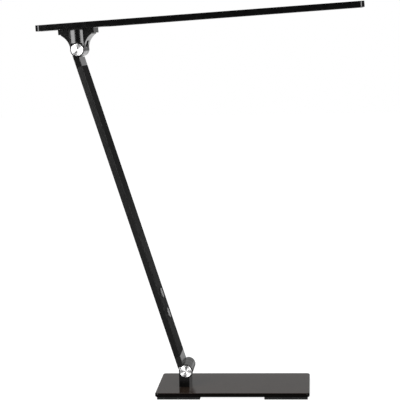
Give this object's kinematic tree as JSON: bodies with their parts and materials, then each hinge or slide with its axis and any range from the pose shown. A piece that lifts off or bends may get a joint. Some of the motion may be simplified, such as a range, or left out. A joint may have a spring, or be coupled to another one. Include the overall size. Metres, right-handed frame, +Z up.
{
  "type": "folding desk lamp",
  "caption": "Slim desk lamp with a flat base, a wide slab arm and a thin light bar, folding at a friction hinge on the base and another under the bar, with push buttons on the arm.",
  "frame": {"origin": "on the table, straight under the base hinge's axis and midway across the base", "axes": "+X towards the long end of the light bar, +Y towards the back of the lamp (both hinge axes run along Y), +Z up"},
  "size_m": [0.3808, 0.11, 0.4583],
  "materials": {
    "grey_plate": "grey, smooth satin lacquer that mirrors softly",
    "black_rubber": "matt",
    "black_metal": "black, satin gloss",
    "arm_black": "black anodised, satin, drawn along its length",
    "fitting_grey": "dark grey anodised, satin",
    "housing_black": "black anodised, satin",
    "turned_aluminium": "bright, turned in fine rings",
    "steel": "bright zinc plate",
    "bronze": "plain bearing bronze",
    "contact_metal": "bright plated",
    "inlet_plastic": "moulded",
    "cable_jacket": "smooth",
    "board_green": "board with solder mask",
    "component_dark": "moulded components",
    "button_grey": "polished dark metal",
    "reflector_white": "white film",
    "board_white": "white solder mask",
    "led_yellow": "phosphor",
    "clear_acrylic": "clear, polished edges",
    "milky_diffuser": "opal, fine matt"
  },
  "bodies": {
    "base": {"base_plate": "grey_plate", "foot_left": "black_rubber", "foot_right": "black_rubber", "base_bracket": "black_metal", "bracket_screws": "steel", "dc_inlet": "inlet_plastic", "dc_inlet_pin": "contact_metal", "base_lead": "cable_jacket", "base_bushes": "bronze", "base_cap_front": "turned_aluminium", "base_cap_rear": "turned_aluminium"},
    "arm": {"base_hinge_pin": "steel", "base_hinge_nut": "steel", "base_friction_washers": "steel", "base_spring_washers": "steel", "arm_tube": "arm_black", "lower_fitting": "fitting_grey", "upper_fitting": "fitting_grey", "fitting_screws": "steel", "lower_lead": "cable_jacket", "control_board": "board_green", "dome_switches": "steel", "upper_lead": "cable_jacket", "head_hinge_pin": "steel", "head_hinge_nut": "steel", "head_friction_washers": "steel", "head_spring_washers": "steel"},
    "head": {"head_bracket": "black_metal", "head_bushes": "bronze", "head_cap_front": "turned_aluminium", "head_cap_rear": "turned_aluminium", "bracket_bolts": "steel", "mount_plate": "steel", "plate_screws": "steel", "head_housing": "housing_black", "reflector": "reflector_white", "light_guide": "clear_acrylic", "diffuser": "milky_diffuser", "led_board_front": "board_white", "led_board_rear": "board_white", "leds": "led_yellow", "driver_board": "board_green", "driver_parts": "component_dark", "head_lead": "cable_jacket"},
    "power_button": {"power_button": "button_grey"},
    "mode_button": {"mode_button": "button_grey"}
  },
  "joints": [
    {"name": "base_hinge", "type": "hinge", "parent": "base", "child": "arm", "pos_m": [0, 0, 0.0269], "axis": [0, 1, 0], "range_deg": [-12, 95]},
    {"name": "head_hinge", "type": "hinge", "parent": "arm", "child": "head", "pos_m": [-0.11998, 0, 0.40743], "axis": [0, 1, 0], "range_deg": [-57, 75.8]},
    {"name": "power_press", "type": "slide", "parent": "arm", "child": "power_button", "axis": [-0.9537, 0, -0.3007], "range_m": [0, 0.0008], "stiffness_N_per_m": 600, "springref_m": -0.0008},
    {"name": "mode_press", "type": "slide", "parent": "arm", "child": "mode_button", "axis": [-0.9537, 0, -0.3007], "range_m": [0, 0.0008], "stiffness_N_per_m": 600, "springref_m": -0.0008}
  ]
}
